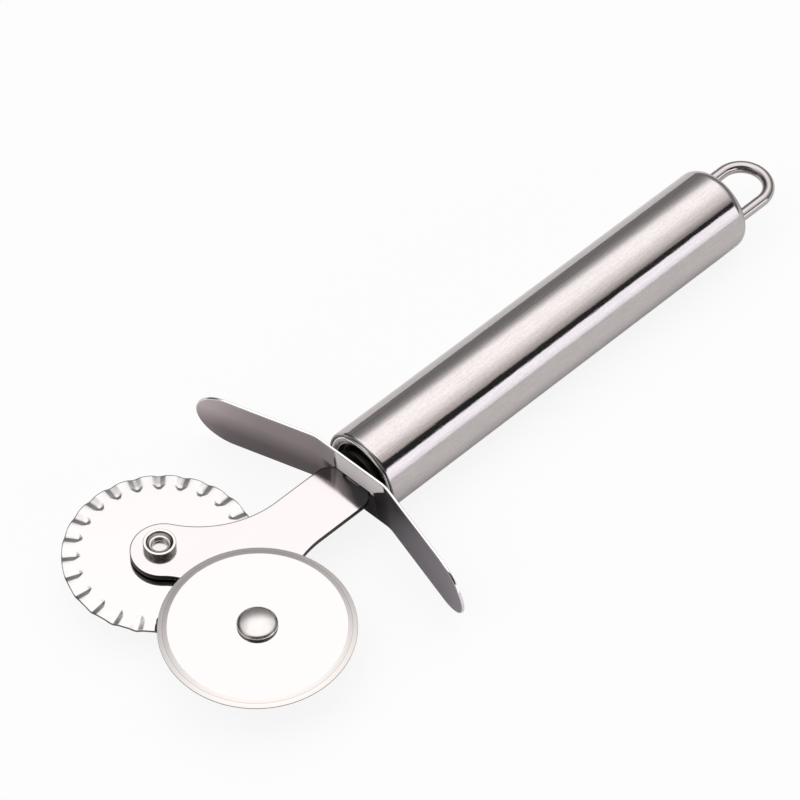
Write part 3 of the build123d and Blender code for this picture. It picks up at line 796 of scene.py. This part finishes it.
for way, outlineStart, holeShift in ((1, 0, 0), (-1, (armRows - 1) * armColumns, holeSteps)):
    loops = [np.arange(armColumns) + outlineStart]
    loops += [np.arange(holeSteps) + holeStart + holeShift + k * 2 * holeSteps for k in range(2)]
    edges = [armMesh.edges.get((armMesh.verts[a], armMesh.verts[b]))
             for loop in loops for a, b in zip(loop, np.roll(loop, -1))]
    bmesh.ops.triangle_fill(armMesh, edges=edges, use_beauty=True, normal=Vector((0, 0, way)))
bmesh.ops.recalc_face_normals(armMesh, faces=armMesh.faces)
armMesh.to_mesh(armData)
armMesh.free()
faces = [list(p.vertices) for p in armData.polygons]
bpy.data.meshes.remove(armData)
steep = np.interp(np.linspace(0, 90, armSteps["edge"]), armSizes["cutTurn"], (0, 1))
cutRow = np.concatenate([[0], steep, np.ones(armSteps["edge"]), [0]])
cutEdge = np.concatenate([np.repeat(cutRow, armColumns), np.zeros(len(points) - holeStart)])
sheetSteel = steel("sheetSteel", sheetBuild(neckEnd))
addPiece("wheelArm", points, faces, sheetSteel, "tool", "sheet_steel", ["arm"], marks={"cutEdge": cutEdge})

# Plain wheel: flat disc with a two-step ground edge
plainSizes = {"bore": 3.55, "bevel": 2.3, "step": 0.4, "edge": 0.22, "edgeRound": 0.05, "bevelRound": 0.5,
              "count": 360}
plainBottom, plainTop = plainLow[2], plainHigh[2]
edgeRound, bevelRound = plainSizes["edgeRound"], plainSizes["bevelRound"]
plainProfile = roundedLine([
    (plainBottom, plainSizes["bore"], edgeRound), (plainBottom, plainR, edgeRound),
    (plainBottom + plainSizes["edge"], plainR, edgeRound),
    (plainTop - plainSizes["step"], plainR - plainSizes["bevel"] / 2, bevelRound),
    (plainTop, plainR - plainSizes["bevel"], bevelRound), (plainTop, plainSizes["bore"], edgeRound)])
plainMiddle = np.array((plainPivot[0], plainPivot[1], 0))
addPiece("plainWheel", *turned(plainProfile, plainMiddle, axisUp, plainSizes["count"]),
         plainSteel, "plain_disc", "wheel_steel", ["plain_wheel"])

# Fluted wheel: a thin disc pressed into V grooves with a narrow level bottom, steep flanks that end in a rounded tip,
# and gentle shoulders that run out halfway. Rows of points are a step from the bore, a radius on the plain face, then
# distances in from the rim with their count
fluteSizes = {"bore": 3.55, "thick": 0.6, "count": 24, "phase": 3.6, "depth": 0.37, "endDepth": 0.27, "bottom": 0.24,
              "bottomSoft": 0.1, "flank": 1.3, "endFlank": 0.55, "taper": (2.8, 4.0), "shoulderDepth": 0.13,
              "shoulder": 2.45, "shoulderLong": 2.6, "endStart": 3.5, "endLong": 0.9, "power": 1.5, "soft": 0.13,
              "reach": 8.0, "rollWide": 0.38, "rollDeep": 0.13, "edge": 0.1, "support": 0.02,
              "edgeSteps": 6, "perFlute": 48}
fluteRows = {"boreEdge": 0.05, "face": 10.0, "beforeEnds": (6.0, 4.7, 4), "ends": (4.6, 3.2, 16),
             "grooves": (3.05, 16)}


# Height of the pressed disc at a radius and an angle. Place on a flank = power sum of (distance from the groove's
# line - half bottom) / flank width and of (distance past the groove's end) / end length. A flank's depth falls from
# all at place 0 to none at place 1, softly clamped, and the shoulder's falls smoothly to none at its width
def fluteHeight(radius, angle):
    size = fluteSizes
    pitch = 2 * np.pi / size["count"]
    off = (angle - np.radians(size["phase"]) + pitch / 2) % pitch - pitch / 2
    fromLine = np.sqrt((radius * np.sin(off)) ** 2 + size["bottomSoft"] ** 2) - size["bottomSoft"]
    across = np.maximum(fromLine - size["bottom"], 0)
    inside = flutedR - radius * np.cos(off)
    beyond = np.maximum(inside - size["endStart"], 0) / size["endLong"]
    flank = np.interp(inside, size["taper"], (size["flank"], size["endFlank"]))
    place = ((across / flank) ** size["power"] + beyond ** size["power"]) ** (1 / size["power"])
    share = (1 - place + np.sqrt((1 - place) ** 2 + size["soft"] ** 2)) / (1 + np.sqrt(1 + size["soft"] ** 2))
    depth = np.interp(inside, (0, size["endStart"]), (size["depth"], size["endDepth"]))
    shoulder = size["shoulderDepth"] * np.clip(1 - inside / size["shoulderLong"], 0, 1)
    aside = np.clip(1 - across / size["shoulder"], 0, 1)
    return -depth * share * (radius > flutedR - size["reach"]) - shoulder * aside * aside * (3 - 2 * aside)


grooveStart, grooveSteps = fluteRows["grooves"]
faceRadii = np.concatenate([
    [fluteSizes["bore"], fluteSizes["bore"] + fluteRows["boreEdge"], fluteRows["face"]],
    flutedR - np.linspace(*fluteRows["beforeEnds"]), flutedR - np.linspace(*fluteRows["ends"]),
    np.linspace(flutedR - grooveStart, flutedR - fluteSizes["rollWide"] - fluteSizes["support"], grooveSteps)])
lipInset, lipDrop = rollOver(fluteSizes["rollWide"], fluteSizes["rollDeep"], fluteSizes["edgeSteps"])
underInset, underRise = rollOver(fluteSizes["edge"], fluteSizes["edge"], fluteSizes["edgeSteps"])
underDrop = fluteSizes["thick"] - np.append(underRise[::-2], np.zeros(len(faceRadii[::-2])))
radii = np.concatenate([faceRadii, flutedR - lipInset, flutedR - underInset[::-2], faceRadii[::-2]])[:, None]
faceDrop = np.concatenate([np.zeros(len(faceRadii)), lipDrop, underDrop])[:, None]
angles = fullTurn(fluteSizes["count"] * fluteSizes["perFlute"])
points = np.stack([
    flutedPivot[0] + radii * np.cos(angles), flutedPivot[1] + radii * np.sin(angles),
    flutedHigh[2] - faceDrop + fluteHeight(radii, angles[None])], -1).reshape(-1, 3)
faces = bandFaces(len(radii), len(angles), True).tolist()
addPiece("flutedWheel", points, faces, flutedSteel, "fluted_disc", "wheel_steel", ["fluted_wheel"])

# Rivets: a head of a shallow cap, a tight shoulder and a thin lip, then journal and hollow spigot
rivetSizes = {"head": 4.8, "capR": 12.0, "capEnd": 3.9, "capSteps": 22, "shoulderR": 1.814, "shoulderTurn": 50.0,
              "shoulderSteps": 14, "lipRound": 0.07, "headTall": 1.65, "small": 0.06, "journal": 3.5, "spigot": 2.5,
              "bore": 2.0, "boreDeep": 1.35, "boreRound": 0.15, "cone": 0.15, "coneRound": 0.12, "count": 128}
collarSizes = {"outer": 3.9, "bore": 3.1, "tall": 1.8, "floor": 0.75, "fit": 0.03, "outerRound": 0.18,
               "innerRound": 0.24, "cone": 0.29, "coneRound": 0.15, "count": 128}
washerSizes = {"bore": 3.55, "boreRound": 0.04, "edgeRound": 0.06, "count": 96}


# Rivet, collar and washers of one wheel. Heights run from the arm's face to the wheel, up or down
def addStack(name, pivot, way, headTop):
    origin = np.array((pivot[0], pivot[1], 0))
    armThick = armHigh[2] - armLow[2]
    collarTop = -armThick - collarSizes["tall"]
    spigotEnd = collarTop + collarSizes["floor"]
    size = rivetSizes
    tall = abs(headTop - pivot[2])
    headLow = tall - size["headTall"]
    capTurn = np.arcsin(size["capEnd"] / size["capR"])
    t = np.linspace(0, capTurn, size["capSteps"])
    cap = np.stack([tall - size["capR"] * (1 - np.cos(t)), size["capR"] * np.sin(t)], 1)
    t = np.linspace(capTurn, np.radians(size["shoulderTurn"]), size["shoulderSteps"])
    shoulder = cap[-1] + size["shoulderR"] * np.stack([np.cos(t) - np.cos(capTurn), np.sin(t) - np.sin(capTurn)], 1)
    shank = roundedLine([
        (*shoulder[-1], 0), (shoulder[-1, 0], size["head"], size["lipRound"]), (headLow, size["head"], size["small"]),
        (headLow, size["journal"], 0), (0, size["journal"], 0), (0, size["spigot"], 0),
        (spigotEnd, size["spigot"], size["small"]), (spigotEnd + size["cone"], size["bore"], size["coneRound"]),
        (spigotEnd + size["boreDeep"], size["bore"], size["boreRound"]), (spigotEnd + size["boreDeep"], 0, 0),
    ], closed=False)[1:]
    rivet = np.concatenate([cap, shoulder[1:], shank])
    rivet[:, 0] = pivot[2] + way * rivet[:, 0]
    addPiece(name + "Rivet", *turned(rivet, origin, axisUp, size["count"], closed=False),
             rivetSteel, "tool", "rivet_steel", [name + "_rivet"])
    size = collarSizes
    spigotHole = rivetSizes["spigot"] + size["fit"]
    collar = roundedLine([
        (-armThick, spigotHole, 0), (-armThick, size["outer"], 0), (collarTop, size["outer"], size["outerRound"]),
        (collarTop, size["bore"], size["innerRound"]), (spigotEnd - size["cone"], size["bore"], size["coneRound"]),
        (spigotEnd, spigotHole, 0)], step=8)
    collar[:, 0] = pivot[2] + way * collar[:, 0]
    addPiece(name + "Collar", *turned(collar, origin, axisUp, size["count"]),
             collarSteels[name], "tool", "rivet_steel", [name + "_collar"])
    size = washerSizes
    for node, piece in ((name + "_washer", name + "Washer"), (name + "_head_washer", name + "HeadWasher")):
        low, high = nodeBox(node)
        outer = (high[0] - low[0]) / 2
        washer = roundedLine([
            (low[2], size["bore"], size["boreRound"]), (low[2], outer, size["edgeRound"]),
            (high[2], outer, size["edgeRound"]), (high[2], size["bore"], size["boreRound"])])
        addPiece(piece, *turned(washer, origin, axisUp, size["count"]), washerSteel, "tool", "washer_steel", [node])


addStack("plain", plainPivot, 1, nodeBox("plain_rivet")[1][2])
addStack("fluted", flutedPivot, -1, nodeBox("fluted_rivet")[0][2])

# CAD solids that stay: inside the mouth and inside the handle
keptSolids = {"front_cap": darkSteel, "guard_spacer": darkSteel, "loop_welds": weldSteel, "tang_welds": weldSteel}
for node, material in keptSolids.items():
    mesh = frame["nodes"][node].data
    mesh.materials.clear()
    mesh.materials.append(material)

# Camera at the photograph's angle, aimed from the middle of the handle's mouth
cameraSet = {"azimuth": -44.135, "elevation": 50.313, "distance": 1127.0, "lens": 212.1, "sensor": 36.0,
             "aim": (22.183, 9.67, 0), "clip": (0.05, 100)}
azimuth, elevation = np.radians(cameraSet["azimuth"]), np.radians(cameraSet["elevation"])
back = Vector((np.sin(azimuth) * np.cos(elevation), -np.cos(azimuth) * np.cos(elevation), np.sin(elevation)))
aim = Vector((mouthX, 0, axisZ)) + Vector(cameraSet["aim"])
cameraData = bpy.data.cameras.new("camera")
cameraData.lens, cameraData.sensor_width = cameraSet["lens"], cameraSet["sensor"]
cameraData.clip_start, cameraData.clip_end = cameraSet["clip"]
camera = linked("camera", cameraData)
camera.location = (aim + back * cameraSet["distance"]) * mm
camera.rotation_mode = "QUATERNION"
camera.rotation_quaternion = (-back).to_track_quat("-Z", "Y")
bpy.context.scene.camera = camera

# Floor: matt, and mostly plain white where the camera sees it, so that it keeps a faint shadow
floorSet = {"half": 30.0, "colour": (0.84, 0.84, 0.84), "drop": 0.00002, "white": 0.88, "mirrored": 0.05}
floorCorners = np.array([(-1, -1, 0), (1, -1, 0), (1, 1, 0), (-1, 1, 0)]) * floorSet["half"]
floorMesh = bpy.data.meshes.new("floor")
floorMesh.from_pydata((floorCorners - (0, 0, floorSet["drop"])).tolist(), [], [(0, 1, 2, 3)])
floor = linked("floor", floorMesh)
floorPaint = bpy.data.materials.new("floorPaint")
floorPaint.use_nodes = True
paint = Shade(floorPaint.node_tree)
mattPaint = paint.node("ShaderNodeBsdfDiffuse", None, {"Color": (*floorSet["colour"], 1.0)})
white = paint.node("ShaderNodeEmission", None, {"Color": (1.0, 1.0, 1.0, 1.0), "Strength": 1.0})
seen, mirrored, through = [paint.node("ShaderNodeLightPath", None, None, ray)
                           for ray in ("Is Camera Ray", "Is Glossy Ray", "Is Transmission Ray")]
whiteShare = seen * floorSet["white"] + paint.math("MAXIMUM", mirrored, through) * floorSet["mirrored"]
surface = paint.node("ShaderNodeMixShader", None, {0: whiteShare, 1: mattPaint, 2: white})
paint.node("ShaderNodeOutputMaterial", None, {"Surface": surface})
floorMesh.materials.append(floorPaint)

# Studio: a soft panel overhead and behind, which fades to its sides and ends in a crisp edge towards the camera, a
# dark gap, and a white card low on the right. Places on the panel are right / up and far / up, as on a ceiling one
# unit high, where right, far and up are the picture's own directions on the table. The card's are angles in degrees
studioSet = {
    "strength": 1.47, "slant": 0.2, "leftNarrow": -1.15, "edge": (-0.337, 0.13, 0.012), "lowest": 0.02,
    "deepRange": (-0.5, 3.0), "wideRange": (0.0, 3.0),
    "deep": ((-0.5, (1.0, 0.95, 0.925)), (-0.2, (1.0, 0.96, 0.935)), (0.1, (1.0, 0.995, 0.99)),
             (0.6, (1.0, 0.995, 0.99)), (0.79, 0.97), (0.92, 0.84), (1.05, 0.58), (1.25, 0.32), (1.5, 0.15),
             (1.85, 0.07), (2.4, 0.03), (3.0, 0.0)),
    "wide": ((0.0, 1.0), (0.3, 1.0), (0.42, 0.95), (0.485, 0.87), (0.556, 0.75), (0.617, 0.71), (0.7, 0.64),
             (0.774, 0.58), (0.878, 0.53), (1.0, 0.46), (1.1, 0.37), (1.5, 0.1), (2.0, 0.02), (3.0, 0.0)),
    "nearBase": 0.12, "farBase": 0.27, "baseFar": (-0.3, 0.3),
    "gap": 0.8, "gapRight": (0.3, 0.6), "gapFar": (0.05, -0.02),
    "leftRight": (-0.35, -0.6), "leftDeep": (0.3, -0.5), "leftFar": 0.1, "leftNear": 0.45,
    "card": (1.65, 1.655, 1.76), "cardFoot": (1.27, 1.265, 1.34), "cardFade": (0.0, 11.0), "cardTop": (26.5, 25.0),
    "cardNear": (-70.0, -62.0), "cardFar": (-1.0, -9.0)}
world = bpy.data.worlds.new("studio")
world.use_nodes = True
bpy.context.scene.world = world
sky = Shade(world.node_tree)
rightWay = (float(np.cos(azimuth)), float(np.sin(azimuth)), 0.0)
farWay = (float(-np.sin(azimuth)), float(np.cos(azimuth)), 0.0)
skyWay = sky.node("ShaderNodeTexCoord", None, None, 0)


# Share of a direction in the way a ray looks
def towards(way):
    return sky.node("ShaderNodeVectorMath", {"operation": "DOT_PRODUCT"}, {0: skyWay, 1: way}, 1)


toRight, toFar, toUp = towards(rightWay), towards(farWay), towards((0.0, 0.0, 1.0))
ceiling = sky.math("MAXIMUM", toUp, studioSet["lowest"])
panelWide, panelDeep = toRight / ceiling, toFar / ceiling
deepFade = sky.ramp(panelDeep - panelWide * studioSet["slant"], *studioSet["deepRange"], studioSet["deep"])
eitherSide = sky.math("MAXIMUM", panelWide, panelWide * studioSet["leftNarrow"])
wideFade = sky.ramp(eitherSide, *studioSet["wideRange"], studioSet["wide"])
edgePlace, edgeSlope, edgeSoft = studioSet["edge"]
edgeMask = sky.span(panelDeep - panelWide * edgeSlope, edgePlace - edgeSoft, edgePlace + edgeSoft)
panel = sky.node("ShaderNodeVectorMath", {"operation": "SCALE"}, {
    0: deepFade, "Scale": wideFade * edgeMask * studioSet["strength"]})
gap = sky.span(toRight, *studioSet["gapRight"]) * sky.span(toFar, *studioSet["gapFar"])
base = sky.span(toFar, *studioSet["baseFar"], studioSet["nearBase"], studioSet["farBase"])
base = base * (1 - gap * studioSet["gap"])
onLeft = sky.span(toRight, *studioSet["leftRight"])
leftBase = sky.span(toFar, *studioSet["leftDeep"], studioSet["leftFar"], studioSet["leftNear"])
base = base * (1 - onLeft) + onLeft * leftBase
around = sky.node("ShaderNodeVectorMath", {"operation": "ADD"}, {0: panel, 1: base})
degree = 180 / np.pi
upAngle = sky.math("ARCSINE", toUp) * degree
bearing = sky.math("ARCTAN2", toFar, toRight) * degree
card = sky.span(upAngle, *studioSet["cardTop"])
card = card * sky.span(bearing, *studioSet["cardNear"]) * sky.span(bearing, *studioSet["cardFar"])
cardLight = sky.blend(sky.span(upAngle, *studioSet["cardFade"]), studioSet["cardFoot"], studioSet["card"])
light = sky.blend(card, around, cardLight)
backdrop = sky.node("ShaderNodeBackground", None, {"Color": light, "Strength": 1.0})
sky.node("ShaderNodeOutputWorld", None, {"Surface": backdrop})

# Lamp from the near left, which lifts the floor and fills the shadow there
lampSet = {"right": -0.6, "far": -0.5, "strength": 0.9, "angle": 60.0}
lampData = bpy.data.lights.new("panelLamp", "SUN")
lampData.energy, lampData.angle = lampSet["strength"], np.radians(lampSet["angle"])
lamp = linked("panelLamp", lampData)
lampWay = Vector(rightWay) * lampSet["right"] + Vector(farWay) * lampSet["far"] + Vector((0, 0, 1))
lamp.rotation_mode = "QUATERNION"
lamp.rotation_quaternion = lampWay.to_track_quat("Z", "Y")
lamp.visible_glossy = False
bpy.context.scene.view_settings.view_transform = "Standard"
print("stage made")
